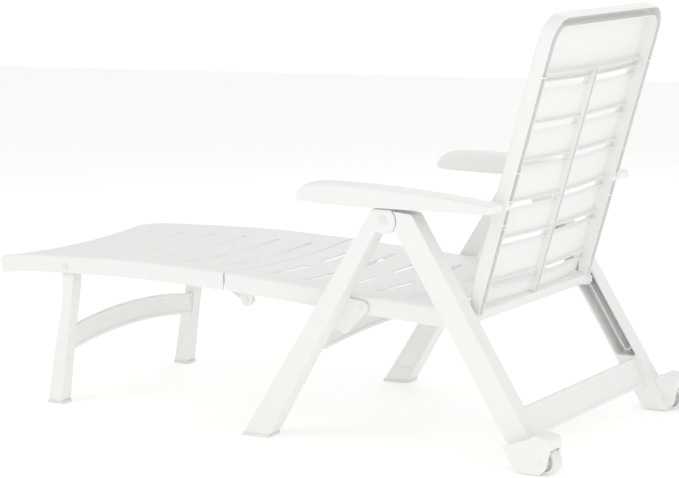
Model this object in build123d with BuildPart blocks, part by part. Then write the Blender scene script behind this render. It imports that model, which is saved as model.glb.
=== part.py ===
from build123d import *
import math
import os

# Reclining sun lounger in white moulded plastic. Millimetres, +Z up, +X toward the head end,
# origin on the floor at the middle of the posed lounger. The sitter's left side is -Y.

# main pivots, as (x, z) pairs in the side view
apex = (356, 514)
seat_pivot = (270, 310)
back_pivot = (541, 305)
arm_pivot = (612, 550)
foot_hinge = (-47, 300)
foot_leg_pivot = (-567, 344)
wheel_centre = (743, 28)

# legs
leg_inner = 293
leg_outer = 338
leg_wall = 5
leg_flange = 6
lap_plane = 315
lap_gap = 0.5
boss_radius = 30
boss_clearance = 2.5
boss_top = 538
sole_height = 8
sole_lip = 1.5
pin_gap = 0.06

# pins
apex_pin_radius = 6
seat_pin_radius = 6
back_pin_radius = 5
arm_pin_radius = 6
foot_pin_radius = 5
axle_radius = 4

# wheels and their housings
wheel_radius = 28
wheel_inner = 317
wheel_outer = 351
cheek_inner = 304
cheek_outer = 364
cheek_wall = 9
wheel_room = 3

# seat and foot panel
panel_half_width = 285
rail_wall = 5
rail_height = 42
skin = 4
dish = 12
slot_length_from = 30
slot_length_to = 205
slot_width = 15
rib_half_width = 236
rib_thickness = 3
rib_depth = 14

# foot-end leg frame
foot_leg_inner = 245
foot_leg_outer = 277
foot_leg_head = 13.5

# backrest
back_angle = 73
back_half_width = 278
rail_width = 24
rail_depth = 33
back_wall = 3
rail_web = 4
back_pivot_depth = 9
back_length = 675
headrest_start = 545
headrest_step = 0.5
corner_radius = 60
slat_skin = 4
back_slot_rows = (63, 162, 246, 339, 424, 517)
back_slot_height = 17
back_slot_from = 20
back_slot_to = 226
lip_depth = 10
lip_thickness = 3

# armrests
arm_inner = 288
arm_outer = 346
arm_wall = 4

os.makedirs("parts", exist_ok=True)

SIDES = ("left", "right")


def save(node, part):
    part.label = node
    export_step(part, "parts/" + node + ".step")


def side_plane(side, inner, outer):
    # sketch plane of a slab between |y| = inner and |y| = outer, extruded toward -Y
    if side == "left":
        return Plane.XZ.offset(inner)
    return Plane.XZ.offset(-outer)


def slab(side, inner, outer, points, mode=Mode.ADD):
    # extruded side-view outline
    with BuildSketch(side_plane(side, inner, outer)) as outline:
        with BuildLine():
            Polyline(*points, close=True)
        make_face()
    extrude(outline.sketch, amount=outer - inner, mode=mode)


def round_slab(side, inner, outer, centre, radius, mode=Mode.ADD):
    # cylinder across the object
    with BuildSketch(side_plane(side, inner, outer)) as outline:
        with Locations(centre):
            Circle(radius)
    extrude(outline.sketch, amount=outer - inner, mode=mode)


def front_edge(z):
    # front edge of a rear leg
    return 541 - 0.605 * (z - 236)


def rear_edge(z):
    # rear edge of a rear leg
    return 604 - 0.603 * (z - 236)


def shin_front(z):
    # front edge of a front leg
    return -28 + 0.66 * z


def shin_rear(z):
    # rear edge of a front leg
    return 40 + 0.607 * z


# ---- rear legs, with the wheel housings moulded on ----
leg_outline = (
    (front_edge(3), 3),
    (rear_edge(3), 3),
    (rear_edge(527), 527),
    (424, 531),
    (front_edge(boss_top), boss_top),
)
pocket_outline = (
    (front_edge(126) + leg_flange, 126),
    (rear_edge(126) - leg_flange, 126),
    (rear_edge(452) - leg_flange, 452),
    (front_edge(452) + leg_flange, 452),
)
cheek_outline = (
    (front_edge(3), 3),
    (738, 3),
    (752, 16),
    (760, 50),
    (760, 80),
    (726, 86),
    (714, 77),
    (692, 70),
    (front_edge(54), 54),
)
hood_outline = (
    (692, 60),
    (756, 60),
    (760, 80),
    (726, 86),
    (714, 77),
    (692, 70),
)
wheel_clear = wheel_radius + wheel_room

for side in SIDES:
    with BuildPart() as rear_leg:
        slab(side, leg_inner, leg_outer, leg_outline)
        round_slab(side, leg_inner, lap_plane - lap_gap, apex, boss_radius - 1)
        above = ((300, boss_top), (430, boss_top), (430, boss_top + 20), (300, boss_top + 20))
        slab(side, leg_inner, leg_outer, above, Mode.SUBTRACT)
        slab(side, leg_inner, leg_outer - leg_wall, pocket_outline, Mode.SUBTRACT)
        boss_hole = boss_radius + boss_clearance
        round_slab(side, lap_plane - lap_gap, leg_outer, apex, boss_hole, Mode.SUBTRACT)
        slab(side, leg_outer, cheek_outer, cheek_outline)
        slab(side, cheek_inner, leg_outer, hood_outline)
        with BuildSketch(side_plane(side, cheek_inner, cheek_inner + cheek_wall)):
            with BuildLine():
                Polyline(*cheek_outline, close=True)
            make_face()
        extrude(amount=cheek_wall)
        round_slab(side, cheek_inner + cheek_wall, cheek_outer - cheek_wall, wheel_centre,
                   wheel_clear, Mode.SUBTRACT)
        round_slab(side, cheek_inner, cheek_outer, wheel_centre, axle_radius + pin_gap,
                   Mode.SUBTRACT)
        round_slab(side, leg_inner, leg_outer, apex, apex_pin_radius + pin_gap, Mode.SUBTRACT)
    save("rear_leg_" + side, rear_leg.part)

# raised rims inside the rear legs that guide the back pivot pins
track_angle = math.degrees(math.atan2(-0.8575, 0.5145))
track_length = 184
rim_half_width = 8.5
rim_thickness = 2.5
rim_depth = 28
track_mid = (
    back_pivot[0] + 0.5 * track_length * 0.5145,
    back_pivot[1] - 0.5 * track_length * 0.8575,
)
with BuildPart() as guide_rims:
    for side in SIDES:
        rim_top = leg_outer - leg_wall
        with BuildSketch(side_plane(side, rim_top - rim_depth, rim_top)):
            with Locations(Location((track_mid[0], track_mid[1]), track_angle)):
                outer_length = track_length + 2 * (rim_half_width + rim_thickness)
                SlotOverall(outer_length, 2 * (rim_half_width + rim_thickness))
                SlotOverall(track_length + 2 * rim_half_width, 2 * rim_half_width,
                            mode=Mode.SUBTRACT)
        extrude(amount=rim_depth)
save("guide_rims", guide_rims.part)

# plank between the rear legs
with BuildPart() as rear_stretcher:
    with BuildSketch(Plane.XZ.offset(-leg_inner)):
        with BuildLine():
            Polyline((661, 123), (688, 60), (673, 54), (646, 117), close=True)
        make_face()
    extrude(amount=2 * leg_inner)
save("rear_stretcher", rear_stretcher.part)

# pins that join the front legs to the rear legs
with BuildPart() as apex_pins:
    for side in SIDES:
        round_slab(side, leg_inner - 2, leg_outer, apex, apex_pin_radius)
        round_slab(side, leg_outer, leg_outer + 3, apex, apex_pin_radius + 3)
        round_slab(side, leg_inner - 2, leg_inner, apex, apex_pin_radius + 3)
save("apex_pins", apex_pins.part)

with BuildPart() as wheel_axles:
    for side in SIDES:
        round_slab(side, cheek_inner, cheek_outer, wheel_centre, axle_radius)
save("wheel_axles", wheel_axles.part)

for side in SIDES:
    with BuildPart() as wheel:
        round_slab(side, wheel_inner, wheel_outer, wheel_centre, wheel_radius)
        rim_edges = wheel.edges().filter_by(GeomType.CIRCLE)
        fillet(rim_edges, 4)
        round_slab(side, wheel_inner, wheel_inner + 6, wheel_centre, wheel_radius - 9,
                   Mode.SUBTRACT)
        round_slab(side, wheel_outer - 6, wheel_outer, wheel_centre, wheel_radius - 9,
                   Mode.SUBTRACT)
        round_slab(side, wheel_inner, wheel_outer, wheel_centre, 9)
        round_slab(side, wheel_inner, wheel_outer, wheel_centre, axle_radius + pin_gap,
                   Mode.SUBTRACT)
    save("wheel_" + side, wheel.part)

# ---- front legs ----
shin_outline = (
    (shin_front(sole_height), sole_height),
    (shin_rear(sole_height), sole_height),
    (shin_rear(490), 490),
    (apex[0], apex[1]),
    (apex[0], boss_top),
    (shin_front(boss_top), boss_top),
)
shin_pocket = (
    (shin_front(40) + 9, 40),
    (shin_rear(40) - 9, 40),
    (shin_rear(196) - 8, 196),
    (shin_front(196) + 8, 196),
)
for side in SIDES:
    with BuildPart() as front_leg:
        slab(side, leg_inner, leg_outer, shin_outline)
        with BuildSketch(side_plane(side, lap_plane, leg_outer)):
            with Locations(apex):
                Circle(boss_radius)
            with Locations((apex[0], boss_top + 20)):
                Rectangle(120, 40, mode=Mode.SUBTRACT)
        extrude(amount=leg_outer - lap_plane)
        hub_clear = boss_radius + 0.5
        round_slab(side, leg_inner, lap_plane, apex, hub_clear, Mode.SUBTRACT)
        slab(side, leg_inner, leg_outer - leg_wall, shin_pocket, Mode.SUBTRACT)
        round_slab(side, leg_inner, leg_outer, apex, apex_pin_radius + pin_gap, Mode.SUBTRACT)
    save("front_leg_" + side, front_leg.part)

with BuildPart() as front_feet:
    for side in SIDES:
        sole = (
            (shin_front(0) - sole_lip, 0),
            (shin_rear(0) + sole_lip, 0),
            (shin_rear(sole_height) + sole_lip, sole_height),
            (shin_front(sole_height) - sole_lip, sole_height),
        )
        slab(side, leg_inner - sole_lip, leg_outer + sole_lip, sole)
save("front_feet", front_feet.part)

# ears on the front legs that carry the seat
ear_inner = 286.5
with BuildPart() as seat_brackets:
    for side in SIDES:
        ear = ((182, 262), (226, 248), (276, 297), (270, 324), (224, 330))
        slab(side, ear_inner, leg_inner, ear)
        round_slab(side, ear_inner, leg_inner, seat_pivot, 14)
        round_slab(side, ear_inner, leg_inner, (222, 262), 14)
        round_slab(side, ear_inner, leg_inner, seat_pivot, seat_pin_radius + pin_gap,
                   Mode.SUBTRACT)
save("seat_brackets", seat_brackets.part)


def arched_plank(x_from, thickness, half_width, low, high, rise):
    # upright plank across the object, arched upward by rise at the middle
    with BuildPart() as plank:
        with BuildSketch(Plane.YZ.offset(x_from)):
            with BuildLine():
                ThreePointArc((-half_width, low), (0, low + rise), (half_width, low))
                Line((half_width, low), (half_width, high))
                ThreePointArc((half_width, high), (0, high + rise), (-half_width, high))
                Line((-half_width, high), (-half_width, low))
            make_face()
        extrude(amount=thickness)
    return plank.part


save("front_stretcher", arched_plank(160, 16, leg_inner, 208, 250, 16))

# ---- seat and foot panel ----


def tray_section(plane, height):
    # U section: dished skin on top, deep rails at both sides, top edge at local y = 0
    w = panel_half_width
    v = w - rail_wall
    with BuildSketch(plane) as section_sketch:
        with BuildLine():
            Line((-w, -height), (-w, 0))
            Line((-w, 0), (-v, 0))
            ThreePointArc((-v, 0), (0, -dish), (v, 0))
            Line((v, 0), (w, 0))
            Line((w, 0), (w, -height))
            Line((w, -height), (v, -height))
            Line((v, -height), (v, -skin))
            ThreePointArc((v, -skin), (0, -dish - skin), (-v, -skin))
            Line((-v, -skin), (-v, -height))
            Line((-v, -height), (-w, -height))
        make_face()
    return section_sketch.sketch


def rib_section(plane, half_width, depth):
    # stiffening rib that follows the underside of the dished skin
    v = panel_half_width - rail_wall
    edge = dish * (half_width / v) ** 2
    with BuildSketch(plane) as section_sketch:
        with BuildLine():
            ThreePointArc((-half_width, edge - dish - skin / 2), (0, -dish - skin / 2),
                          (half_width, edge - dish - skin / 2))
            Line((half_width, edge - dish - skin / 2), (half_width, -dish - skin - depth))
            Line((half_width, -dish - skin - depth), (-half_width, -dish - skin - depth))
            Line((-half_width, -dish - skin - depth), (-half_width, edge - dish - skin / 2))
        make_face()
    return section_sketch.sketch


def slot_row(x, z):
    # one pair of transverse slots
    middle = 0.5 * (slot_length_from + slot_length_to)
    with BuildSketch(Plane.XY.offset(z)) as slots:
        with Locations((x, middle), (x, -middle)):
            SlotOverall(slot_length_to - slot_length_from, slot_width, rotation=90)
    extrude(slots.sketch, amount=80, mode=Mode.SUBTRACT)


seat_front = (-103, 361)
seat_slope = -0.068
seat_length = 590
strap_end = 15
seat_dir = Vector(1, 0, seat_slope).normalized()
seat_plane = Plane(origin=(seat_front[0], 0, seat_front[1]), x_dir=(0, 1, 0), z_dir=seat_dir)
with BuildPart() as seat_panel:
    extrude(tray_section(seat_plane, rail_height), amount=seat_length)
    for step in (14, 190, 285, 380, 475, 586):
        rib = rib_section(seat_plane.offset(step), rib_half_width, rib_depth)
        extrude(rib, amount=rib_thickness)
    for row_x in (-34, 66, 160, 252, 346, 440):
        slot_row(row_x, 300)
    for side in SIDES:
        strap = ((450, 324), (450, 284), (back_pivot[0], 290), (back_pivot[0], 320))
        slab(side, panel_half_width - rail_wall, panel_half_width, strap)
        round_slab(side, panel_half_width - rail_wall, panel_half_width, back_pivot, strap_end)
        round_slab(side, panel_half_width - rail_wall, panel_half_width, back_pivot,
                   back_pin_radius + pin_gap, Mode.SUBTRACT)
        round_slab(side, panel_half_width - rail_wall, panel_half_width, seat_pivot,
                   seat_pin_radius + pin_gap, Mode.SUBTRACT)
save("seat_panel", seat_panel.part)

with BuildPart() as seat_pins:
    for side in SIDES:
        round_slab(side, panel_half_width - rail_wall - 3, leg_inner + 1, seat_pivot,
                   seat_pin_radius)
        round_slab(side, panel_half_width - rail_wall - 3, panel_half_width - rail_wall,
                   seat_pivot, seat_pin_radius + 3)
save("seat_pins", seat_pins.part)

# lugs under the front of the seat and the arms of the foot panel that hinge on them
lug_inner = 271
lug_outer = panel_half_width - rail_wall
with BuildPart() as foot_hinge_lugs:
    for side in SIDES:
        lug = ((-66, 340), (-60, 296), (-34, 296), (-20, 340))
        slab(side, lug_inner, lug_outer, lug)
        round_slab(side, lug_inner, lug_outer, foot_hinge, 15)
        round_slab(side, lug_inner, lug_outer, foot_hinge, foot_pin_radius + pin_gap,
                   Mode.SUBTRACT)
save("foot_hinge_lugs", foot_hinge_lugs.part)

arm_plate_inner = 261
arm_plate_outer = 270
panel_end = -105.5
with BuildPart() as foot_hinge_arms:
    for side in SIDES:
        plate = ((panel_end, 345), (panel_end, 322), (-52, 288), (-36, 308), (-80, 345))
        slab(side, arm_plate_inner, arm_plate_outer, plate)
        round_slab(side, arm_plate_inner, arm_plate_outer, foot_hinge, 13)
        round_slab(side, arm_plate_inner, arm_plate_outer, foot_hinge,
                   foot_pin_radius + pin_gap, Mode.SUBTRACT)
save("foot_hinge_arms", foot_hinge_arms.part)

with BuildPart() as foot_hinge_pins:
    for side in SIDES:
        round_slab(side, arm_plate_inner - 3, lug_outer + 4, foot_hinge, foot_pin_radius)
        round_slab(side, lug_outer, lug_outer + 4, foot_hinge, foot_pin_radius + 3)
save("foot_hinge_pins", foot_hinge_pins.part)

with BuildPart() as foot_panel:
    with BuildLine() as foot_curve:
        Spline((panel_end, 0, 361), (-284, 0, 369), (-406, 0, 371), (-575, 0, 369),
               (-701, 0, 365), (-767, 0, 357))
    start_dir = foot_curve.line % 0
    start_plane = Plane(origin=foot_curve.line @ 0, x_dir=(0, -1, 0), z_dir=start_dir)
    sweep(tray_section(start_plane, rail_height), path=foot_curve.line)
    for fraction in (0.0, 0.19, 0.34, 0.49, 0.64, 0.80):
        rib_dir = foot_curve.line % fraction
        rib_plane = Plane(origin=foot_curve.line @ fraction, x_dir=(0, -1, 0), z_dir=rib_dir)
        rib = rib_section(rib_plane, rib_half_width, rib_depth)
        extrude(rib, amount=rib_thickness)
    end_wall = rib_section(start_plane, panel_half_width - rail_wall, rail_height - dish - skin - 2)
    extrude(end_wall, amount=skin)
    tip_dir = foot_curve.line % 1
    tip_plane = Plane(origin=foot_curve.line @ 1, x_dir=(0, -1, 0), z_dir=tip_dir)
    with BuildSketch(tip_plane):
        with BuildLine():
            Line((-panel_half_width, -24), (-panel_half_width, 0))
            Line((-panel_half_width, 0), (rail_wall - panel_half_width, 0))
            ThreePointArc((rail_wall - panel_half_width, 0), (0, -dish),
                          (panel_half_width - rail_wall, 0))
            Line((panel_half_width - rail_wall, 0), (panel_half_width, 0))
            Line((panel_half_width, 0), (panel_half_width, -24))
            Line((panel_half_width, -24), (-panel_half_width, -24))
        make_face()
    extrude(amount=4)
    for row_x in (-664, -566, -468, -368, -268, -172):
        slot_row(row_x, 330)
    for side in SIDES:
        round_slab(side, panel_half_width - rail_wall, panel_half_width, foot_leg_pivot,
                   foot_pin_radius + pin_gap, Mode.SUBTRACT)
save("foot_panel", foot_panel.part)

with BuildPart() as foot_leg_pins:
    for side in SIDES:
        round_slab(side, foot_leg_inner - 2, panel_half_width + 2, foot_leg_pivot,
                   foot_pin_radius)
        round_slab(side, panel_half_width, panel_half_width + 2, foot_leg_pivot,
                   foot_pin_radius + 3)
save("foot_leg_pins", foot_leg_pins.part)

# ---- foot-end leg frame ----
foot_leg_outline = (
    (-580.5, 344),
    (-584, 322),
    (-587, 258),
    (-599, 208),
    (-618, 132),
    (-643, sole_height),
    (-600, sole_height),
    (-582, 130),
    (-571, 195),
    (-560, 255),
    (-550, 322),
    (-553.5, 344),
)
for side in SIDES:
    with BuildPart() as foot_leg:
        slab(side, foot_leg_inner, foot_leg_outer, foot_leg_outline)
        round_slab(side, foot_leg_inner, foot_leg_outer, foot_leg_pivot, foot_leg_head)
        round_slab(side, foot_leg_inner, foot_leg_outer, foot_leg_pivot,
                   foot_pin_radius + pin_gap, Mode.SUBTRACT)
    save("foot_leg_" + side, foot_leg.part)

with BuildPart() as foot_leg_feet:
    for side in SIDES:
        sole = (
            (-644.5 - sole_lip, 0),
            (-599 + sole_lip, 0),
            (-600 + sole_lip, sole_height),
            (-643 - sole_lip, sole_height),
        )
        slab(side, foot_leg_inner - sole_lip, foot_leg_outer + sole_lip, sole)
save("foot_leg_feet", foot_leg_feet.part)

save("foot_stretcher", arched_plank(-592, 14, foot_leg_inner, 134, 190, 22))

# ---- backrest ----
back_dir = Vector(math.cos(math.radians(back_angle)), 0, math.sin(math.radians(back_angle)))
front_dir = Vector(-back_dir.Z, 0, back_dir.X)
pivot_point = Vector(back_pivot[0], 0, back_pivot[1])
# section plane at the pivot: local x = +Y, local y = toward the sitter
section = Plane(origin=pivot_point, x_dir=(0, 1, 0), z_dir=back_dir)
# face plane: local x = +Y, local y = up the back, extrudes toward the rear
face = Plane(origin=pivot_point, x_dir=(0, 1, 0), z_dir=front_dir * -1)
rear_face = -back_pivot_depth
front_face = rail_depth - back_pivot_depth
rail_inner = back_half_width - rail_width


def block(plane, length, y_from, y_to, d_from, d_to, mode=Mode.ADD):
    # box along the back: y_from to y_to across, d_from to d_to in depth
    with BuildSketch(plane) as outline:
        with Locations((0.5 * (y_from + y_to), 0.5 * (d_from + d_to))):
            Rectangle(abs(y_to - y_from), abs(d_to - d_from))
    extrude(outline.sketch, amount=length, mode=mode)


for side in SIDES:
    sign = -1 if side == "left" else 1
    outer_y = sign * back_half_width
    inner_y = sign * rail_inner
    with BuildPart() as back_rail:
        block(section, headrest_start, outer_y, inner_y, rear_face, front_face)
        block(section, headrest_start, outer_y - sign * back_wall, inner_y + sign * back_wall,
              rear_face, front_face - rail_web, Mode.SUBTRACT)
        for height in (0, 214, 268, 331, 542):
            block(section.offset(height), back_wall, outer_y, inner_y, rear_face, front_face)
        # pivot boss for the armrest and closed bottom end round the back pivot
        round_slab(side, rail_inner, back_half_width, arm_pivot, 11)
        round_slab(side, rail_inner, back_half_width, back_pivot, back_pivot_depth)
        # the front of the rail is cut back at the bottom so that it clears the folded seat
        cut_back = (
            (back_pivot[0] - 9, back_pivot[1] + 1),
            (back_pivot[0] - 60, back_pivot[1] + 1),
            (back_pivot[0] - 60, back_pivot[1] + 64),
            (back_pivot[0] - 5.5, back_pivot[1] + 64),
        )
        slab(side, rail_inner, back_half_width, cut_back, Mode.SUBTRACT)
        round_slab(side, rail_inner, back_half_width, arm_pivot, arm_pin_radius + pin_gap,
                   Mode.SUBTRACT)
        round_slab(side, rail_inner, back_half_width, back_pivot, back_pin_radius + pin_gap,
                   Mode.SUBTRACT)
    save("back_rail_" + side, back_rail.part)


def back_band(plane, rear, front, w=rail_inner):
    # curved strip of half width w, set back by the dish at the middle
    with BuildSketch(plane) as strip:
        with BuildLine():
            ThreePointArc((-w, rear), (0, rear - dish), (w, rear))
            Line((w, rear), (w, front))
            ThreePointArc((w, front), (0, front - dish), (-w, front))
            Line((-w, front), (-w, rear))
        make_face()
    return strip.sketch


slat_start = 16
slat_rear = front_face - slat_skin
middle_from = 6
middle_to = 9
with BuildPart() as back_slats:
    slat_length = headrest_start - slat_start
    extrude(back_band(section.offset(slat_start), slat_rear, front_face), amount=slat_length)
    for row in back_slot_rows:
        for edge in (row - 0.5 * back_slot_height - lip_thickness, row + 0.5 * back_slot_height):
            lip = back_band(section.offset(edge), slat_rear - lip_depth, slat_rear)
            extrude(lip, amount=lip_thickness)
    middle = 0.5 * (back_slot_from + back_slot_to)
    with BuildSketch(face.offset(-front_face - 5)) as back_slots:
        for row in back_slot_rows:
            with Locations((middle, row), (-middle, row)):
                RectangleRounded(back_slot_to - back_slot_from, back_slot_height, 5)
    extrude(back_slots.sketch, amount=rail_depth, mode=Mode.SUBTRACT)
    rib_front = slat_rear - dish
    for sign in (-1, 1):
        block(section.offset(slat_start), slat_length, sign * middle_from, sign * middle_to,
              rear_face + 3, rib_front + 1)
save("back_slats", back_slats.part)


def arch_shape(plane, inset):
    # rounded top of the backrest, moved inward by inset
    w = back_half_width - inset
    top = back_length - inset
    r = corner_radius - inset
    mid = r * (1 - math.sqrt(0.5))
    with BuildSketch(plane) as shape:
        with BuildLine():
            Line((-w, headrest_start), (-w, top - r))
            ThreePointArc((-w, top - r), (-w + mid, top - mid), (-w + r, top))
            Line((-w + r, top), (w - r, top))
            ThreePointArc((w - r, top), (w - mid, top - mid), (w, top - r))
            Line((w, top - r), (w, headrest_start))
            Line((w, headrest_start), (-w, headrest_start))
        make_face()
    return shape.sketch


with BuildPart() as headrest:
    front_plane = face.offset(-front_face)
    web_plane = front_plane.offset(rail_web)
    extrude(arch_shape(front_plane, 0), amount=rail_depth)
    hollow = arch_shape(web_plane, back_wall) - arch_shape(web_plane, rail_width - back_wall)
    extrude(hollow, amount=rail_depth, mode=Mode.SUBTRACT)
    extrude(arch_shape(front_plane, rail_width), amount=rail_depth, mode=Mode.SUBTRACT)
    panel_length = back_length - headrest_start - rail_width + 1
    panel_rear = slat_rear - headrest_step
    panel_front = front_face - headrest_step
    panel_half = rail_inner + 0.5 * back_wall
    panel_band = back_band(section.offset(headrest_start), panel_rear, panel_front, panel_half)
    extrude(panel_band, amount=panel_length)
    lip_rear = slat_rear - 2 * lip_depth
    lip = back_band(section.offset(headrest_start), lip_rear, panel_rear, panel_half)
    extrude(lip, amount=lip_thickness)
save("headrest", headrest.part)

with BuildPart() as back_bottom_bar:
    block(section.offset(-back_pivot_depth), slat_start + back_pivot_depth, -rail_inner,
          rail_inner, rear_face + 2, front_face - 10)
save("back_bottom_bar", back_bottom_bar.part)

# pins on which the seat and the backrest turn, running in the guide rims
with BuildPart() as back_pivot_pins:
    for side in SIDES:
        round_slab(side, rail_inner + 2, leg_outer - leg_wall - 7, back_pivot, back_pin_radius)
save("back_pivot_pins", back_pivot_pins.part)

with BuildPart() as arm_pins:
    for side in SIDES:
        round_slab(side, rail_inner + 2, arm_outer - 10, arm_pivot, arm_pin_radius)
save("arm_pins", arm_pins.part)

# ---- armrests ----
arm_rear = 626
arm_front = 134
arm_corner = 14
arm_bottom = ((arm_rear, 541), (330, 541), (arm_front, 548))
arm_top = ((arm_front, 562), (155, 583), (176, 590), (240, 591), (330, 588), (464, 579),
           (610, 563), (arm_rear, 562))
for side in SIDES:
    sign = -1 if side == "left" else 1
    arm_middle = sign * 0.5 * (arm_inner + arm_outer)
    with BuildPart() as armrest:
        slab(side, arm_inner, arm_outer, arm_bottom + arm_top)
        with BuildSketch(Plane.XY.offset(500)) as plan:
            with Locations((0.5 * (arm_front + arm_rear), arm_middle)):
                RectangleRounded(arm_rear - arm_front, arm_outer - arm_inner, arm_corner)
        extrude(plan.sketch, amount=120, mode=Mode.INTERSECT)
        pocket = ((616, 530), (150, 530), (150, 572), (176, 584), (240, 585), (330, 582),
                  (464, 573), (616, 557))
        slab(side, arm_inner + arm_wall, arm_outer - arm_wall, pocket, Mode.SUBTRACT)
        for rib_x in (490, 560):
            with BuildSketch(Plane.XY.offset(543)) as rib_foot:
                with Locations((rib_x, arm_middle)):
                    Rectangle(arm_wall, arm_outer - arm_inner - arm_wall)
            extrude(rib_foot.sketch, amount=26)
        round_slab(side, arm_inner, arm_outer, arm_pivot, 9)
        round_slab(side, arm_inner, arm_outer - 8, arm_pivot, arm_pin_radius + pin_gap,
                   Mode.SUBTRACT)
    save("armrest_" + side, armrest.part)
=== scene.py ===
import math

import bmesh
import bpy
from mathutils import Matrix, Vector


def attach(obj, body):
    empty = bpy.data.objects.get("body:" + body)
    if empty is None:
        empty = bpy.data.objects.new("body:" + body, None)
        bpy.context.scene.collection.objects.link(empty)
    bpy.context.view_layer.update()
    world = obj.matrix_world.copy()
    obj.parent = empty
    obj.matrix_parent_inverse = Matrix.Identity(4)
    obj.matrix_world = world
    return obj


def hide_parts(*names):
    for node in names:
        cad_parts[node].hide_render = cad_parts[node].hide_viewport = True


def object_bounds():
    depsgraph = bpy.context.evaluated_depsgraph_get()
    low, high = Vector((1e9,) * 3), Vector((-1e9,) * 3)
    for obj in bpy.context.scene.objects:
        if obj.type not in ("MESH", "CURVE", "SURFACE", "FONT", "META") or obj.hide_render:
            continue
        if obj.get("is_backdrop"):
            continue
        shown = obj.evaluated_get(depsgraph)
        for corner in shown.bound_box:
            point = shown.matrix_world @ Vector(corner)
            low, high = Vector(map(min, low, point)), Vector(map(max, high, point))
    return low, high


# Folding sun lounger in white moulded plastic. The sizes and places of its pieces are in
# millimetres in the shared frame, and MM turns them into metres where a mesh is written.
# Materials, lights and camera are in metres.
MM = 0.001

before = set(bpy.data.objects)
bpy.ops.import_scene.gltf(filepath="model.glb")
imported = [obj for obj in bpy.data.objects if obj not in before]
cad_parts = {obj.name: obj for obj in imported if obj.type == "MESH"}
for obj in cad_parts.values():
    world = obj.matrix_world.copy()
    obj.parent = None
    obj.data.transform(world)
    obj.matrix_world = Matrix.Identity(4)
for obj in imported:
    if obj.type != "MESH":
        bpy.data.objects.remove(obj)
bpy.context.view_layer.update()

SIDES = (("left", -1), ("right", 1))
APEX = (356, 514)
SEAT_PIVOT = (270, 310)
BACK_PIVOT = (541, 305)
ARM_PIVOT = (612, 550)
FOOT_HINGE = (-47, 300)
FOOT_LEG_PIVOT = (-567, 344)
WHEEL = (743, 28)

# |y| of the inner and outer faces of the legs
LEG_IN, LEG_OUT = 293, 338
FOOT_LEG_IN, FOOT_LEG_OUT = 245, 277
# radii of the bores round the thick pins, the thin pins and the axles
THICK_BORE, THIN_BORE, AXLE_BORE = 6.06, 5.06, 4.06
# how far the middle of the seat, foot panel and back hangs below their sides
DISH = 12


# ---------------------------------------------------------------- materials
def plastic(name, color, rough, grain, dirt):
    """Moulded polypropylene: faint mottling, satin grain, scuffs, and dust low on the legs."""
    mat = bpy.data.materials.new(name)
    mat.use_nodes = True
    nodes, links = mat.node_tree.nodes, mat.node_tree.links
    shader = nodes["Principled BSDF"]
    coords = nodes.new("ShaderNodeTexCoord")

    def noise(scale, detail, roughness=0.5):
        n = nodes.new("ShaderNodeTexNoise")
        n.inputs["Scale"].default_value = scale
        n.inputs["Detail"].default_value = detail
        n.inputs["Roughness"].default_value = roughness
        links.new(coords.outputs["Object"], n.inputs["Vector"])
        return n

    def ramp(source, low, high, first, second):
        r = nodes.new("ShaderNodeMapRange")
        r.inputs["From Min"].default_value = low
        r.inputs["From Max"].default_value = high
        r.inputs["To Min"].default_value = first
        r.inputs["To Max"].default_value = second
        links.new(source, r.inputs["Value"])
        return r.outputs["Result"]

    def mix(factor, first, second):
        m = nodes.new("ShaderNodeMix")
        m.data_type = "RGBA"
        links.new(factor, m.inputs["Factor"])
        for socket, value in ((m.inputs["A"], first), (m.inputs["B"], second)):
            if isinstance(value, tuple):
                socket.default_value = (*value, 1)
            else:
                links.new(value, socket)
        return m.outputs["Result"]

    warm = tuple(c * k for c, k in zip(color, (0.992, 0.988, 0.972)))
    dusty = tuple(c * k for c, k in zip(color, (0.92, 0.90, 0.85)))
    mottled = mix(ramp(noise(3.0, 3).outputs["Fac"], 0.35, 0.68, 0, 0.55), color, warm)
    specks = ramp(noise(60, 6, 0.7).outputs["Fac"], 0.60, 0.78, 0, 0.35 * dirt)
    mottled = mix(specks, mottled, dusty)
    split = nodes.new("ShaderNodeSeparateXYZ")
    links.new(coords.outputs["Object"], split.inputs[0])
    low = nodes.new("ShaderNodeMath")
    low.operation = "MULTIPLY"
    links.new(ramp(split.outputs["Z"], 0.0, 0.12, 0.55 * dirt, 0), low.inputs[0])
    links.new(ramp(noise(14, 5, 0.65).outputs["Fac"], 0.35, 0.7, 0.1, 1), low.inputs[1])
    links.new(mix(low.outputs[0], mottled, dusty), shader.inputs["Base Color"])

    scuffs = noise(24, 8, 0.75)
    links.new(ramp(scuffs.outputs["Fac"], 0.3, 0.75, rough - 0.05, rough + 0.14),
              shader.inputs["Roughness"])
    fine = nodes.new("ShaderNodeBump")
    fine.inputs["Strength"].default_value = grain
    fine.inputs["Distance"].default_value = 0.0004
    links.new(noise(950, 3, 0.6).outputs["Fac"], fine.inputs["Height"])
    broad = nodes.new("ShaderNodeBump")
    broad.inputs["Strength"].default_value = 0.12
    broad.inputs["Distance"].default_value = 0.002
    links.new(noise(9, 2).outputs["Fac"], broad.inputs["Height"])
    links.new(broad.outputs["Normal"], fine.inputs["Normal"])
    links.new(fine.outputs["Normal"], shader.inputs["Normal"])
    shader.inputs["IOR"].default_value = 1.49
    shader.inputs["Specular IOR Level"].default_value = 0.45
    return mat


MATERIALS = {
    "white_plastic": plastic("white_plastic", (0.885, 0.888, 0.882), 0.40, 0.20, 0.5),
    "pin_plastic": plastic("pin_plastic", (0.82, 0.823, 0.818), 0.34, 0.10, 0.3),
    "wheel_plastic": plastic("wheel_plastic", (0.84, 0.843, 0.835), 0.42, 0.15, 0.9),
    "sole_plastic": plastic("sole_plastic", (0.81, 0.81, 0.795), 0.55, 0.30, 1.0),
}


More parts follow.
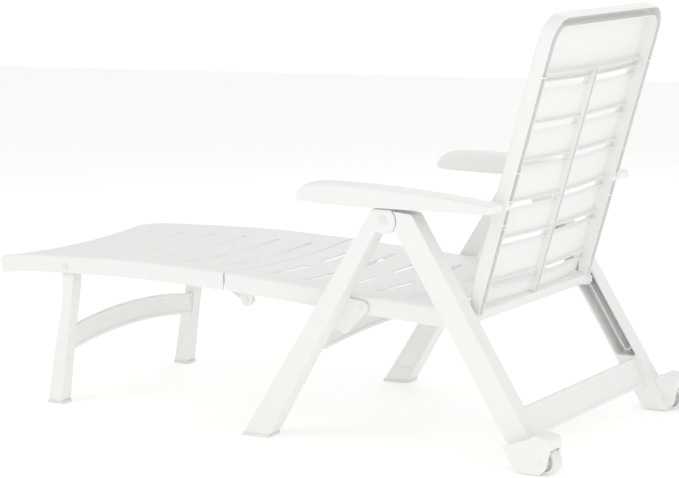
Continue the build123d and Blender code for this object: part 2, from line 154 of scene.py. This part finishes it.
# ---------------------------------------------------------------- mesh helpers
def mesh_object(name, points, faces):
    """Object from millimetre points, with outward faces."""
    mesh = bpy.data.meshes.new(name)
    mesh.from_pydata([tuple(c * MM for c in p) for p in points], [], faces)
    obj = bpy.data.objects.new(name, mesh)
    bpy.context.scene.collection.objects.link(obj)
    bm = bmesh.new()
    bm.from_mesh(mesh)
    bmesh.ops.remove_doubles(bm, verts=bm.verts, dist=1e-6)
    bmesh.ops.recalc_face_normals(bm, faces=bm.faces)
    bm.to_mesh(mesh)
    bm.free()
    return obj


def baked(obj):
    """The object's modifiers become its mesh."""
    graph = bpy.context.evaluated_depsgraph_get()
    mesh = bpy.data.meshes.new_from_object(obj.evaluated_get(graph))
    obj.modifiers.clear()
    obj.data = mesh
    return obj


def beveled(obj, width, segments=3, angle=28):
    """Round the edges sharper than angle."""
    mod = obj.modifiers.new("round", "BEVEL")
    mod.width = width * MM
    mod.segments = segments
    mod.limit_method = "ANGLE"
    mod.angle_limit = math.radians(angle)
    mod.use_clamp_overlap = True
    return baked(obj)


def combine(obj, others, operation):
    """Boolean of obj with each of the others, which are used up."""
    for other in others:
        mod = obj.modifiers.new("cut", "BOOLEAN")
        mod.operation = operation
        mod.solver = "EXACT"
        mod.object = other
        baked(obj)
        bpy.data.objects.remove(other)
    bm = bmesh.new()
    bm.from_mesh(obj.data)
    bmesh.ops.remove_doubles(bm, verts=bm.verts, dist=2e-5)
    bm.to_mesh(obj.data)
    bm.free()
    return obj


def joined(name, objects):
    """One object made of several closed shells."""
    bm = bmesh.new()
    for obj in objects:
        bm.from_mesh(obj.data)
        bpy.data.objects.remove(obj)
    mesh = bpy.data.meshes.new(name)
    bm.to_mesh(mesh)
    bm.free()
    obj = bpy.data.objects.new(name, mesh)
    bpy.context.scene.collection.objects.link(obj)
    return obj


def place(obj, body, nodes, slot="white_plastic", angle=38):
    """Shade, give the finish, tie the piece to its body, and hide the CAD nodes it replaces."""
    obj.data.materials.clear()
    obj.data.materials.append(MATERIALS[slot])
    for face in obj.data.polygons:
        face.use_smooth = True
        face.material_index = 0
    obj.data.set_sharp_from_angle(angle=math.radians(angle))
    normals = obj.modifiers.new("normals", "WEIGHTED_NORMAL")
    normals.keep_sharp = True
    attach(obj, body)
    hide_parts(*nodes)
    return obj


def rounded(points, radius, steps=5):
    """Outline with each corner turned into an arc; radius is one number or one per corner."""
    count = len(points)
    radii = radius if isinstance(radius, (list, tuple)) else [radius] * count
    out = []
    for i, r in enumerate(radii):
        here = Vector(points[i])
        before = Vector(points[i - 1]) - here
        after = Vector(points[(i + 1) % count]) - here
        half = before.angle(after) / 2
        reach = min(r / math.tan(half), 0.48 * before.length, 0.48 * after.length)
        if reach < 0.05:
            out.append(tuple(here))
            continue
        start = here + before.normalized() * reach
        end = here + after.normalized() * reach
        for k in range(steps + 1):
            t = k / steps
            point = start * (1 - t) ** 2 + here * 2 * t * (1 - t) + end * t ** 2
            out.append(tuple(point))
    return out


def circle(centre, radius, count=48):
    return [(centre[0] + radius * math.cos(math.tau * k / count),
             centre[1] + radius * math.sin(math.tau * k / count)) for k in range(count)]


def prism(name, outline, inner, outer, sign):
    """Side-view outline (x, z) between |y| = inner and |y| = outer on one side."""
    count = len(outline)
    points = [(x, sign * inner, z) for x, z in outline]
    points += [(x, sign * outer, z) for x, z in outline]
    faces = [tuple(range(count)), tuple(range(2 * count - 1, count - 1, -1))]
    faces += [(i, (i + 1) % count, count + (i + 1) % count, count + i) for i in range(count)]
    return mesh_object(name, points, faces)


def loft(name, sections, closed_ends=True):
    """Closed loops of equal point count, one after the other, skinned."""
    count = len(sections[0])
    points = [p for loop in sections for p in loop]
    faces = []
    for s in range(len(sections) - 1):
        for i in range(count):
            j = (i + 1) % count
            faces.append((s * count + i, s * count + j, (s + 1) * count + j,
                          (s + 1) * count + i))
    if closed_ends:
        faces.append(tuple(range(count)))
        last = (len(sections) - 1) * count
        faces.append(tuple(range(last + count - 1, last - 1, -1)))
    return mesh_object(name, points, faces)


def spread(start, end, count):
    """count + 1 evenly spaced values from start to end."""
    return [start + (end - start) * k / count for k in range(count + 1)]


# ---------------------------------------------------------------- rear legs and wheels
def front_edge(z):
    """x of the rear leg's front edge."""
    return 541 - 0.605 * (z - 236)


def rear_edge(z):
    """x of the rear leg's rear edge."""
    return 604 - 0.603 * (z - 236)


def shin_front(z):
    """x of the front leg's front edge."""
    return -28 + 0.66 * z


def shin_rear(z):
    """x of the front leg's rear edge."""
    return 40 + 0.607 * z


# both pairs of legs are cut off level under the armrests
above_legs = [(290, 538), (440, 538), (440, 560), (290, 560)]
leg_line = rounded([(front_edge(3), 3), (rear_edge(3), 3), (rear_edge(527), 527), (424, 531),
                    (front_edge(538), 538)], [10, 4, 12, 5, 4])
leg_pocket = rounded([(front_edge(126) + 6, 126), (rear_edge(126) - 6, 126),
                      (rear_edge(452) - 6, 452), (front_edge(452) + 6, 452)], 6)
cheek = rounded([(front_edge(3), 3), (738, 3), (752, 16), (760, 50), (760, 80), (726, 86),
                 (714, 77), (692, 70), (front_edge(54), 54)], [8, 10, 12, 16, 9, 7, 12, 8, 4])

for side, sign in SIDES:
    leg = prism("rear_leg", leg_line, LEG_IN, LEG_OUT, sign)
    combine(leg, [prism("c", circle(APEX, 29), 293.2, 314.3, sign)], "UNION")
    combine(leg, [
        prism("c", above_legs, 280, 350, sign),
        prism("c", leg_pocket, 280, 333, sign),
        prism("c", circle(APEX, 32.5), 314.5, 350, sign),
        prism("c", circle(APEX, THICK_BORE), 280, 350, sign),
    ], "DIFFERENCE")
    beveled(leg, 2.2)
    housing = prism("housing", cheek, 304, 364, sign)
    combine(housing, [prism("c", circle(WHEEL, 31), 313, 355, sign),
                      prism("c", circle(WHEEL, AXLE_BORE), 290, 380, sign)], "DIFFERENCE")
    beveled(housing, 2.5)
    place(joined("rear_leg_%s_v" % side, [leg, housing]), "rear_frame", ["rear_leg_" + side])

    # a wheel turned from its profile: (radius, |y|)
    profile = [(4.1, 317.4), (8.4, 317.4), (9, 318), (9, 322.4), (9.8, 323), (18.2, 323),
               (19, 322.4), (19, 317.6), (19.6, 317), (24, 317), (26.8, 318.6), (28, 321.6),
               (28, 346.4), (26.8, 349.4), (24, 351), (19.6, 351), (19, 350.4), (19, 345.6),
               (18.2, 345), (9.8, 345), (9, 345.6), (9, 350), (8.4, 350.6), (4.1, 350.6)]
    turns = 72
    rings = []
    for k in range(turns):
        a = math.tau * k / turns
        rings.append([(WHEEL[0] + r * math.cos(a), sign * y, WHEEL[1] + r * math.sin(a))
                      for r, y in profile])
    wheel = loft("wheel_%s_v" % side, rings + [rings[0]], closed_ends=False)
    place(wheel, side + "_wheel", ["wheel_" + side], "wheel_plastic", 50)

# plank between the rear legs: shallow raised border round a flat field
ux, uz = 27 / 68.5, -63 / 68.5
vx, vz = 0.915, 0.366


def plank_point(u, v, y):
    """u down the plank from its upper edge, v through its thickness from the front face."""
    return (646 + u * ux + v * vx, y, 117 + u * uz + v * vz)


plank_line = rounded([(0, 0), (68.5, 0), (68.5, 16.2), (62, 16.2), (58, 13.6), (10.5, 13.6),
                      (6.5, 16.2), (0, 16.2)], [3, 3, 3.4, 2, 2, 2, 2, 3.4], 4)
rows = spread(-292.8, 292.8, 24)
plank = loft("rear_stretcher_v", [[plank_point(u, v, y) for u, v in plank_line] for y in rows])
place(plank, "rear_frame", ["rear_stretcher"])

# ---------------------------------------------------------------- front legs
shin_line = rounded([(shin_front(8), 8), (shin_rear(8), 8), (shin_rear(490), 490), APEX,
                     (356, 538), (shin_front(538), 538)], [3, 3, 3, 2, 2, 5])
shin_pocket = rounded([(shin_front(40) + 9, 40), (shin_rear(40) - 9, 40),
                       (shin_rear(196) - 8, 196), (shin_front(196) + 8, 196)], 7)
for side, sign in SIDES:
    leg = prism("front_leg_%s_v" % side, shin_line, LEG_IN, LEG_OUT, sign)
    combine(leg, [prism("c", circle(APEX, 30, 64), 315, 337.95, sign)], "UNION")
    combine(leg, [
        prism("c", above_legs, 280, 350, sign),
        prism("c", circle(APEX, 30.5, 64), 280, 315, sign),
        prism("c", shin_pocket, 280, 294.5, sign),
        prism("c", circle(APEX, THICK_BORE), 280, 350, sign),
    ], "DIFFERENCE")
    beveled(leg, 1.4)
    place(leg, "front_frame", ["front_leg_" + side])


def soles(name, body, node, lines, inner, outer):
    parts = [beveled(prism("s", rounded(lines, 3), inner, outer, sign), 1.2)
             for _, sign in SIDES]
    place(joined(name, parts), body, [node], "sole_plastic")


soles("front_feet_v", "front_frame", "front_feet",
      [(-29.5, 0), (41.5, 0), (46.4, 8), (-24.2, 8)], 291.5, 339.5)
soles("foot_leg_feet_v", "foot_legs", "foot_leg_feet",
      [(-646, 0), (-597.5, 0), (-598.5, 8), (-644.5, 8)], 243.5, 278.5)


def side_pair(name, body, node, outlines, inner, outer, hole=None, bevel=1.2):
    """Small plates on both sides, from one or more overlapping outlines."""
    parts = []
    for _, sign in SIDES:
        plate = prism("p", outlines[0], inner, outer, sign)
        shrink = 0.02
        for extra in outlines[1:]:
            combine(plate, [prism("c", extra, inner + shrink, outer - shrink, sign)], "UNION")
            shrink += 0.02
        if hole:
            combine(plate, [prism("c", circle(*hole), 200, 400, sign)], "DIFFERENCE")
        parts.append(beveled(plate, bevel, 2))
    place(joined(name, parts), body, [node])


side_pair("seat_brackets_v", "front_frame", "seat_brackets",
          [[(182, 262), (226, 248), (276, 297), (270, 324), (224, 330)],
           circle(SEAT_PIVOT, 14), circle((222, 262), 14)],
          286.5, LEG_IN, (SEAT_PIVOT, THICK_BORE))
side_pair("foot_hinge_lugs_v", "seat", "foot_hinge_lugs",
          [[(-66, 336), (-60, 296), (-34, 296), (-20, 336)], circle(FOOT_HINGE, 15)],
          271, 280, (FOOT_HINGE, THIN_BORE))
side_pair("foot_hinge_arms_v", "footrest", "foot_hinge_arms",
          [[(-105.5, 344), (-105.5, 322), (-52, 288), (-36, 308), (-80, 344)],
           circle(FOOT_HINGE, 13)], 261, 270, (FOOT_HINGE, THIN_BORE))


def arched(name, body, node, x_from, depth, half, low, high, rise):
    """Upright plank arched at the middle, with a thickened rim on its two long edges."""
    height = high - low
    line = rounded([(0, 0), (depth, 0), (depth, 7), (depth - 3, 10), (depth - 3, height - 10),
                    (depth, height - 7), (depth, height), (0, height), (0, height - 7),
                    (3, height - 10), (3, 10), (0, 7)],
                   2, 3)
    sections = []
    for y in spread(-half, half, 36):
        lift = rise * (1 - (y / half) ** 2)
        sections.append([(x_from + a, y, low + lift + b) for a, b in line])
    place(loft(name, sections), body, [node])


arched("front_stretcher_v", "front_frame", "front_stretcher", 160, 16, LEG_IN, 208, 250, 16)
arched("foot_stretcher_v", "foot_legs", "foot_stretcher", -592, 14, FOOT_LEG_IN,
       134, 190, 22)

# ---------------------------------------------------------------- foot legs
foot_line = rounded([(-580.5, 350), (-584, 322), (-587, 258), (-599, 208), (-618, 132),
                     (-643, 8), (-600, 8), (-582, 130), (-571, 195), (-560, 255),
                     (-550, 322), (-553.5, 350)], [8, 20, 30, 60, 60, 3, 3, 60, 60, 40, 20, 8])
for side, sign in SIDES:
    leg = prism("foot_leg_%s_v" % side, foot_line, FOOT_LEG_IN, FOOT_LEG_OUT, sign)
    knuckle = prism("c", circle(FOOT_LEG_PIVOT, 13.5), FOOT_LEG_IN + 0.02,
                    FOOT_LEG_OUT - 0.02, sign)
    combine(leg, [knuckle], "UNION")
    bore = prism("c", circle(FOOT_LEG_PIVOT, THIN_BORE), 200, 300, sign)
    combine(leg, [bore], "DIFFERENCE")
    beveled(leg, 2.0)
    place(leg, "foot_legs", ["foot_leg_" + side])


# ---------------------------------------------------------------- slotted sheets
def slot_grid(rows, row_half, length_from, length_to, width, corner, ends, across, to_point):
    """Faces and points of a sheet with slots. rows are slot centres along u; the slots run
    across v from length_from to length_to on both sides. across lists the other v lines."""
    points, faces, index = [], [], {}

    def vertex(u, v):
        key = (round(u, 3), round(v, 3))
        if key not in index:
            index[key] = len(points)
            points.append(to_point(u, v))
        return index[key]

    margin = 12
    straight = spread(length_from + corner, length_to - corner, 10)
    band = [length_from - margin, length_from - margin / 2 + corner / 2] + straight
    band += [length_to + margin / 2 - corner / 2, length_to + margin]
    half_lines = sorted(set([round(v, 3) for v in band + [a for a in across if a > 0]]))
    v_lines = sorted(set([-v for v in half_lines] + [0.0] + half_lines))
    u_lines = [ends[0]] + spread(ends[0], rows[0] - row_half, 3)[1:-1]
    for row in rows:
        u_lines += spread(row - row_half, row + row_half, 4)
    u_lines += spread(rows[-1] + row_half, ends[1], 3)[1:]
    u_lines = sorted(set(round(u, 3) for u in u_lines))
    inside = (length_from - margin - 0.01, length_to + margin + 0.01)

    for u0, u1 in zip(u_lines, u_lines[1:]):
        in_row = any(row - row_half - 0.01 < 0.5 * (u0 + u1) < row + row_half for row in rows)
        for v0, v1 in zip(v_lines, v_lines[1:]):
            centre = abs(0.5 * (v0 + v1))
            if in_row and inside[0] < centre < inside[1]:
                continue
            faces.append((vertex(u0, v0), vertex(u1, v0), vertex(u1, v1), vertex(u0, v1)))

    steps = 8
    for row in rows:
        for sign in (-1, 1):
            outer, inner = [], []
            for v in straight:
                outer.append((row + row_half, v))
                inner.append((row + width / 2, v))
            far = [band[-2], band[-1], band[-1], band[-1], band[-1], band[-1], band[-2]]
            us = [row_half, row_half, row_half / 2, 0, -row_half / 2, -row_half, -row_half]
            for k, (v, du) in enumerate(zip(far, us)):
                outer.append((row + du, v))
                inner.append(end_point(row, length_to, width, corner, (k + 1) / steps, 1))
            for v in reversed(straight):
                outer.append((row - row_half, v))
                inner.append((row - width / 2, v))
            near = [band[1], band[0], band[0], band[0], band[0], band[0], band[1]]
            for k, (v, du) in enumerate(zip(near, us)):
                outer.append((row - du, v))
                inner.append(end_point(row, length_from, width, corner, (k + 1) / steps, -1))
            count = len(outer)
            for k in range(count):
                n = (k + 1) % count
                faces.append((vertex(outer[k][0], sign * outer[k][1]),
                              vertex(outer[n][0], sign * outer[n][1]),
                              vertex(inner[n][0], sign * inner[n][1]),
                              vertex(inner[k][0], sign * inner[k][1])))
    return points, faces


def end_point(row, end, width, corner, t, way):
    """Point at share t round the end of a slot whose corners have the given radius."""
    flat = width - 2 * corner
    arc = math.pi * corner / 2
    run = t * (2 * arc + flat)
    half = width / 2
    base = end - way * corner
    if run < arc:
        a = run / corner
        u, v = half - corner + corner * math.cos(a), base + way * corner * math.sin(a)
    elif run < arc + flat:
        u, v = half - corner - (run - arc), end
    else:
        a = (run - arc - flat) / corner
        u, v = -half + corner - corner * math.sin(a), base + way * corner * math.cos(a)
    return (row + way * u, v)


def smooth_height(stations):
    """Smooth curve through (x, z) stations, as a function of x."""
    def at(x):
        i = 0
        while i < len(stations) - 2 and x > stations[i + 1][0]:
            i += 1
        x0, z0 = stations[i]
        x1, z1 = stations[i + 1]
        before = stations[max(i - 1, 0)]
        after = stations[min(i + 2, len(stations) - 1)]
        m0 = (z1 - before[1]) / (x1 - before[0])
        m1 = (after[1] - z0) / (after[0] - x0)
        h = x1 - x0
        t = (x - x0) / h
        return ((2 * t ** 3 - 3 * t ** 2 + 1) * z0 + (t ** 3 - 2 * t ** 2 + t) * h * m0
                + (3 * t ** 2 - 2 * t ** 3) * z1 + (t ** 3 - t ** 2) * h * m1)
    return at


# half width over the rails of seat and foot panel, and the radius where deck turns into rail
HALF = 285
ROLL = 6


def tray_point(height):
    """v beyond the roll runs down the rail, so the sheet and its side walls are one skin."""
    def at(u, v):
        z = height(u)
        side = 1 if v > 0 else -1
        a = abs(v)
        edge = HALF - ROLL
        if a <= edge:
            return (u, v, z - DISH * (1 - (a / edge) ** 2))
        turn = ROLL * math.pi / 2
        if a <= edge + turn:
            angle = (a - edge) / ROLL
            return (u, side * (edge + ROLL * math.sin(angle)), z - ROLL * (1 - math.cos(angle)))
        return (u, side * HALF, z - ROLL - (a - edge - turn))
    return at


def shell(name, points, faces, thickness, bevel):
    """Skin with thickness below its face, and softened slot and outer edges."""
    obj = mesh_object(name, points, faces)
    bm = bmesh.new()
    bm.from_mesh(obj.data)
    up = sum(f.normal.z * f.calc_area() for f in bm.faces)
    if up < 0:
        bmesh.ops.reverse_faces(bm, faces=bm.faces)
    bm.to_mesh(obj.data)
    bm.free()
    mod = obj.modifiers.new("thick", "SOLIDIFY")
    mod.thickness = thickness * MM
    mod.offset = -1
    mod.use_even_offset = True
    baked(obj)
    return beveled(obj, bevel, 2, 50)


rail_turn = HALF - ROLL + ROLL * math.pi / 2
tray_lines = [6, 18, 235, 255, 268, HALF - ROLL]
tray_lines += [HALF - ROLL + ROLL * math.pi / 2 * k / 4 for k in range(1, 5)]
tray_lines += [rail_turn + 12, rail_turn + 24, rail_turn + 36]


def cross_rib(name, x, height, half, depth, thickness=3):
    """Stiffener under the sheet, thinner at its lower edge."""
    sections = []
    for y in spread(-half, half, 16):
        top = height(x) - DISH * (1 - (y / (HALF - ROLL)) ** 2) - 3
        low = height(x) - (DISH + 4) - depth
        sections.append([(x - thickness / 2, y, top), (x + thickness / 2, y, top),
                         (x + thickness / 3, y, low), (x - thickness / 3, y, low)])
    return loft(name, sections)


def seat_height(x):
    return 361 - 0.068 * (x + 103)


def tray(name, rows, ends, ribs, height):
    """Slotted, dished deck with a rail down each side and ribs across underneath."""
    grid = slot_grid(rows, 38, 30, 205, 15, 7.4, ends, tray_lines, tray_point(height))
    pieces = [shell(name, *grid, 4.5, 1.1)]
    for x in ribs:
        pieces.append(beveled(cross_rib("r", x, height, HALF - ROLL, 14), 0.8, 2))
    return pieces


parts = tray("seat", [-34, 66, 160, 252, 346, 440], (-102, 486),
             (-86, 113, 206, 299, 393, 484), seat_height)
# straps that carry the back pivot pins
for _, sign in SIDES:
    strap = prism("strap", rounded([(440, 322), (440, 284), (541, 290), (549, 291.5),
                                    (555, 299), (555, 311), (549, 318.5), (541, 320)], 4),
                  280.3, 284.7, sign)
    combine(strap, [prism("c", circle(BACK_PIVOT, THIN_BORE), 270, 290, sign)], "DIFFERENCE")
    parts.append(beveled(strap, 1.0, 2))
place(joined("seat_panel_v", parts), "seat", ["seat_panel"], angle=45)

foot_height = smooth_height([(-767, 357), (-701, 365), (-575, 369), (-406, 371), (-284, 369),
                             (-105.5, 361)])
parts = tray("foot", [-664, -566, -468, -368, -268, -172], (-766, -106),
             (-615, -517, -418, -318, -220, -113), foot_height)
# the foot end is closed by a rounded lip
tip = []
for y in spread(-284, 284, 32):
    top = 357 - DISH * max(0, 1 - (y / (HALF - ROLL)) ** 2)
    drop = 3.0 * max(0, (abs(y) - 272) / 12) ** 2
    tip.append([(-770.6, y, top - 4 - drop), (-769.4, y, top - 1.4 - drop),
                (-766.8, y, top - 0.3 - drop), (-763, y, top - 0.2 - drop),
                (-764, y, 333), (-770.6, y, 333)])
parts.append(loft("tip", tip))
place(joined("foot_panel_v", parts), "footrest", ["foot_panel"], angle=45)

# ---------------------------------------------------------------- backrest
TILT = math.radians(73)
UP = (math.cos(TILT), math.sin(TILT))
FRONT = (-math.sin(TILT), math.cos(TILT))


def back_point(t, y, depth):
    """t up the back from its pivot, depth toward the sitter."""
    return (BACK_PIVOT[0] + t * UP[0] + depth * FRONT[0], y,
            BACK_PIVOT[1] + t * UP[1] + depth * FRONT[1])


BACK_HALF = 278                             # half width over the rails
RAIL = 24                                   # width of one rail
FACE, REAR = 24, -9                         # depths of the rails' front and rear faces
TOP, CORNER = 675, 60                       # height and corner radius of the frame
ROWS = [63, 162, 246, 339, 424, 517]        # heights of the slots
INNER = BACK_HALF - RAIL


def back_skin(t, y):
    dip = DISH * (1 - min(1, abs(y) / INNER) ** 2)
    return back_point(t, y, FACE - 0.3 - dip)


skin = shell("skin", *slot_grid(ROWS, 25, 20, 226, 17, 5, (16, 652), [3, 8, 240, 255],
                                back_skin), 4, 1.0)
parts = [skin]


def lip(t, thickness, reach, half=INNER + 0.5, root=3.0):
    """Curved louvre standing back from the skin."""
    sections = []
    for y in spread(-half, half, 28):
        dip = DISH * (1 - min(1, abs(y) / INNER) ** 2)
        d = FACE - root - dip
        sections.append([back_point(t, y, d), back_point(t + thickness, y, d),
                         back_point(t + thickness * 0.8, y, d - reach),
                         back_point(t + thickness * 0.2, y, d - reach)])
    return beveled(loft("lip", sections), 0.6, 2)


for row in ROWS:
    parts.append(lip(row - 11.6, 3, 11))
    parts.append(lip(row + 8.6, 3, 11))
for _, sign in SIDES:
    rib = []
    for t in spread(17, 545, 40):
        near = FACE - 3.2 - DISH
        rib.append([back_point(t, sign * 5.5, near), back_point(t, sign * 8.7, near),
                    back_point(t, sign * 8.3, REAR + 3), back_point(t, sign * 5.9, REAR + 3)])
    parts.append(beveled(loft("rib", rib), 0.7, 2))
place(joined("back_slats_v", parts), "backrest", ["back_slats"], angle=45)

# channel frame, open to the rear, that runs up one side, over the top and down the other
path = [(-BACK_HALF, t) for t in [-5, 10, 25, 40, 60] + spread(60, TOP - CORNER, 24)[1:]]
for k in range(1, 16):
    a = math.pi - math.pi / 2 * k / 16
    path.append((-BACK_HALF + CORNER + CORNER * math.cos(a), TOP - CORNER + CORNER * math.sin(a)))
path += [(y, TOP) for y in spread(-BACK_HALF + CORNER, 0, 8)]
directions = []
for i, (y, t) in enumerate(path):
    if y <= -BACK_HALF + 0.01:
        directions.append((1, 0))
    elif t >= TOP - 0.01:
        directions.append((0, -1))
    else:
        cy, ct = -BACK_HALF + CORNER, TOP - CORNER
        directions.append(((cy - y) / CORNER, (ct - t) / CORNER))
loop = list(zip(path, directions))
loop += [((-y, t), (-dy, dt)) for (y, t), (dy, dt) in reversed(loop[:-1])]


def channel(front):
    """Section of the frame as (inset from the outer edge, depth)."""
    web = front - 4
    return rounded([(0, REAR), (0, front), (RAIL, front), (RAIL, REAR),
                    (RAIL - 3, REAR), (RAIL - 3, web), (3, web), (3, REAR)],
                   [1.2, 6, 3, 1.2, 1.2, 2, 2, 1.2], 4)


sections = []
for (y, t), (dy, dt) in loop:
    front = FACE - 15.1 * max(0, 1 - (t + 1.7) / 61.3)
    sections.append([back_point(t + inset * dt, y + inset * dy, depth)
                     for inset, depth in channel(front)])
parts = [loft("frame", sections)]
# stiffening webs across the inside of the channel
for t in (-4, 214, 268, 331, 542):
    for _, sign in SIDES:
        web = FACE - 1 if t > 60 else 6
        line = rounded([(sign * 255.5, REAR), (sign * 276.5, REAR), (sign * 276.5, web),
                        (sign * 255.5, web)], 1)
        plate = [[back_point(t + dt, y, d) for y, d in line] for dt in (0, 3)]
        parts.append(beveled(loft("web", plate), 0.6, 2))
for _, sign in SIDES:
    for centre, radius, hole in ((ARM_PIVOT, 11, THICK_BORE), (BACK_PIVOT, 9, THIN_BORE)):
        boss = prism("boss", circle(centre, radius), 255, 277.9, sign)
        combine(boss, [prism("c", circle(centre, hole), 240, 290, sign)], "DIFFERENCE")
        parts.append(beveled(boss, 0.8, 2))
parts.append(lip(545, 3, 18))
place(joined("back_frame_v", parts), "backrest",
      ["back_rail_left", "back_rail_right", "headrest"], angle=40)

bar_line = rounded([(-9, REAR + 2), (-9, 14), (16, 14), (16, REAR + 2)], 4)
bar = loft("back_bottom_bar_v",
           [[back_point(t, y, d) for t, d in bar_line] for y in spread(-253.8, 253.8, 8)])
place(bar, "backrest", ["back_bottom_bar"])

# ---------------------------------------------------------------- armrests
ARM_FRONT = 134.4
ARM_REAR = 625.6
top_line = smooth_height([(134, 564), (143, 573), (156, 583), (176, 589.5), (240, 591),
                          (330, 588), (464, 579), (610, 563.5), (626, 562)])
low_line = smooth_height([(134, 549), (150, 547), (190, 544.5), (330, 541.2), (500, 541),
                          (626, 541)])


def arm_section(x, y_mid, half, low, high):
    """Rounded section with a crowned top."""
    line = rounded([(-half, low), (half, low), (half, high - 5), (0.55 * half, high),
                    (-0.55 * half, high), (-half, high - 5)], [5, 5, 9, 40, 40, 9], 6)
    return [(x, y_mid + a, b) for a, b in line]


for side, sign in SIDES:
    sections = []
    stations = [ARM_FRONT + k for k in (0, 0.6, 1.6, 3.2, 5.4, 8, 11, 14)]
    stations += spread(154, 612, 44) + [ARM_REAR - k for k in (11, 8, 5.4, 3.2, 1.6, 0.6, 0)]
    for x in stations:
        inset = min(x - ARM_FRONT, ARM_REAR - x, 12)
        curl = 12 - math.sqrt(max(0, 144 - (12 - inset) ** 2))
        low, high = low_line(x), top_line(x)
        sections.append(arm_section(x, sign * 317, 29 - curl, low + 0.35 * curl,
                                    high - 0.35 * curl))
    arm = loft("armrest_%s_v" % side, sections)
    hollow = rounded([(600, 520), (152, 520), (152, 570), (178, 583), (240, 584), (330, 581),
                      (464, 572), (600, 557)], 5)
    combine(arm, [prism("c", hollow, 292, 342, sign)], "DIFFERENCE")
    parts = [beveled(arm, 1.4, 2, 40)]
    for x in (490, 560):
        plate = [(x - 2, 545), (x + 2, 545), (x + 2, 564), (x - 2, 564)]
        parts.append(beveled(prism("w", plate, 291, 343, sign), 0.6, 2))
    boss = prism("b", circle(ARM_PIVOT, 8.9), 288.4, 343, sign)
    combine(boss, [prism("c", circle(ARM_PIVOT, THICK_BORE), 280, 338, sign)], "DIFFERENCE")
    parts.append(beveled(boss, 0.8, 2))
    place(joined("armrest_%s_v" % side, parts), side + "_armrest", ["armrest_" + side],
          angle=50)

# ---------------------------------------------------------------- CAD nodes that stay
for node, slot in (("guide_rims", "white_plastic"), ("apex_pins", "pin_plastic"),
                   ("wheel_axles", "pin_plastic"), ("seat_pins", "pin_plastic"),
                   ("foot_hinge_pins", "pin_plastic"), ("foot_leg_pins", "pin_plastic"),
                   ("back_pivot_pins", "pin_plastic"), ("arm_pins", "pin_plastic")):
    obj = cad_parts[node]
    obj.data.materials.clear()
    obj.data.materials.append(MATERIALS[slot])
    obj.data.set_sharp_from_angle(angle=math.radians(40))

# ---------------------------------------------------------------- floor, light, camera
floor_mat = bpy.data.materials.new("studio_floor")
floor_mat.use_nodes = True
floor_shader = floor_mat.node_tree.nodes["Principled BSDF"]
floor_shader.inputs["Base Color"].default_value = (0.93, 0.93, 0.92, 1)
floor_shader.inputs["Roughness"].default_value = 0.9
floor_shader.inputs["Emission Color"].default_value = (1, 1, 1, 1)
floor_shader.inputs["Emission Strength"].default_value = 0.22
floor = mesh_object("floor", [(-9000, -9000, 0), (9000, -9000, 0), (9000, 9000, 0),
                              (-9000, 9000, 0)], [(0, 1, 2, 3)])
floor.data.materials.append(floor_mat)
floor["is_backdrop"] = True

world = bpy.data.worlds.new("studio")
world.use_nodes = True
nodes, links = world.node_tree.nodes, world.node_tree.links
soft_sky = nodes["Background"]
soft_sky.inputs["Color"].default_value = (1.0, 0.995, 0.985, 1)
soft_sky.inputs["Strength"].default_value = 0.78
# the sky shows as plain white from every side, and lights the lounger a little less brightly
white_sky = nodes.new("ShaderNodeBackground")
white_sky.inputs["Color"].default_value = (1, 1, 1, 1)
white_sky.inputs["Strength"].default_value = 1.05
chosen_sky = nodes.new("ShaderNodeMixShader")
light_path = nodes.new("ShaderNodeLightPath")
links.new(light_path.outputs["Is Camera Ray"], chosen_sky.inputs[0])
links.new(soft_sky.outputs[0], chosen_sky.inputs[1])
links.new(white_sky.outputs[0], chosen_sky.inputs[2])
links.new(chosen_sky.outputs[0], nodes["World Output"].inputs["Surface"])
bpy.context.scene.world = world


def softbox(name, place_at, aim, size, power, color):
    """Area light at place_at, pointed at aim."""
    data = bpy.data.lights.new(name, "AREA")
    data.shape = "RECTANGLE"
    data.size, data.size_y = size
    data.energy = power
    data.color = color
    obj = bpy.data.objects.new(name, data)
    obj.location = place_at
    obj.rotation_euler = (Vector(aim) - Vector(place_at)).to_track_quat("-Z", "Y").to_euler()
    bpy.context.scene.collection.objects.link(obj)
    return obj


softbox("key", (-1.6, -3.2, 3.6), (0.1, 0, 0.4), (2.6, 2.6), 23, (1, 0.985, 0.96))
softbox("fill", (3.6, -1.2, 2.2), (0.2, 0, 0.5), (2.4, 2.4), 14, (1, 0.99, 0.97))
softbox("low", (2.4, -3.6, 0.9), (0.2, 0, 0.3), (2.0, 1.2), 8, (1, 0.995, 0.985))
softbox("back", (-0.4, 3.2, 3.0), (0, 0, 0.4), (3.0, 2.0), 18, (0.98, 0.99, 1))

# viewing direction, and the eye's place sideways, up and back from the floor point under
# the lounger
AZ, EL, BANK = math.radians(32), math.radians(8.654), math.radians(-1.292)
EYE_RIGHT, EYE_UP, EYE_BACK = 0.0144, 0.40048, 5.20519
back = Vector((math.sin(AZ) * math.cos(EL), -math.cos(AZ) * math.cos(EL), math.sin(EL)))
forward = -back
right = forward.cross(Vector((0, 0, 1))).normalized()
upward = right.cross(forward)
eye_right = math.cos(BANK) * right + math.sin(BANK) * upward
eye_up = -math.sin(BANK) * right + math.cos(BANK) * upward
eye = EYE_RIGHT * eye_right + EYE_UP * eye_up - EYE_BACK * forward + Vector((0.006, 0, 0))
camera_data = bpy.data.cameras.new("camera")
camera_data.sensor_fit = "HORIZONTAL"
camera_data.sensor_width = 36
camera_data.lens = 114.96
camera_data.clip_end = 60
camera = bpy.data.objects.new("camera", camera_data)
bpy.context.scene.collection.objects.link(camera)
turn = Matrix((eye_right, eye_up, -forward)).transposed().to_4x4()
camera.matrix_world = Matrix.Translation(eye) @ turn
bpy.context.scene.camera = camera
bpy.context.scene.view_settings.view_transform = "Standard"

low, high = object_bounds()
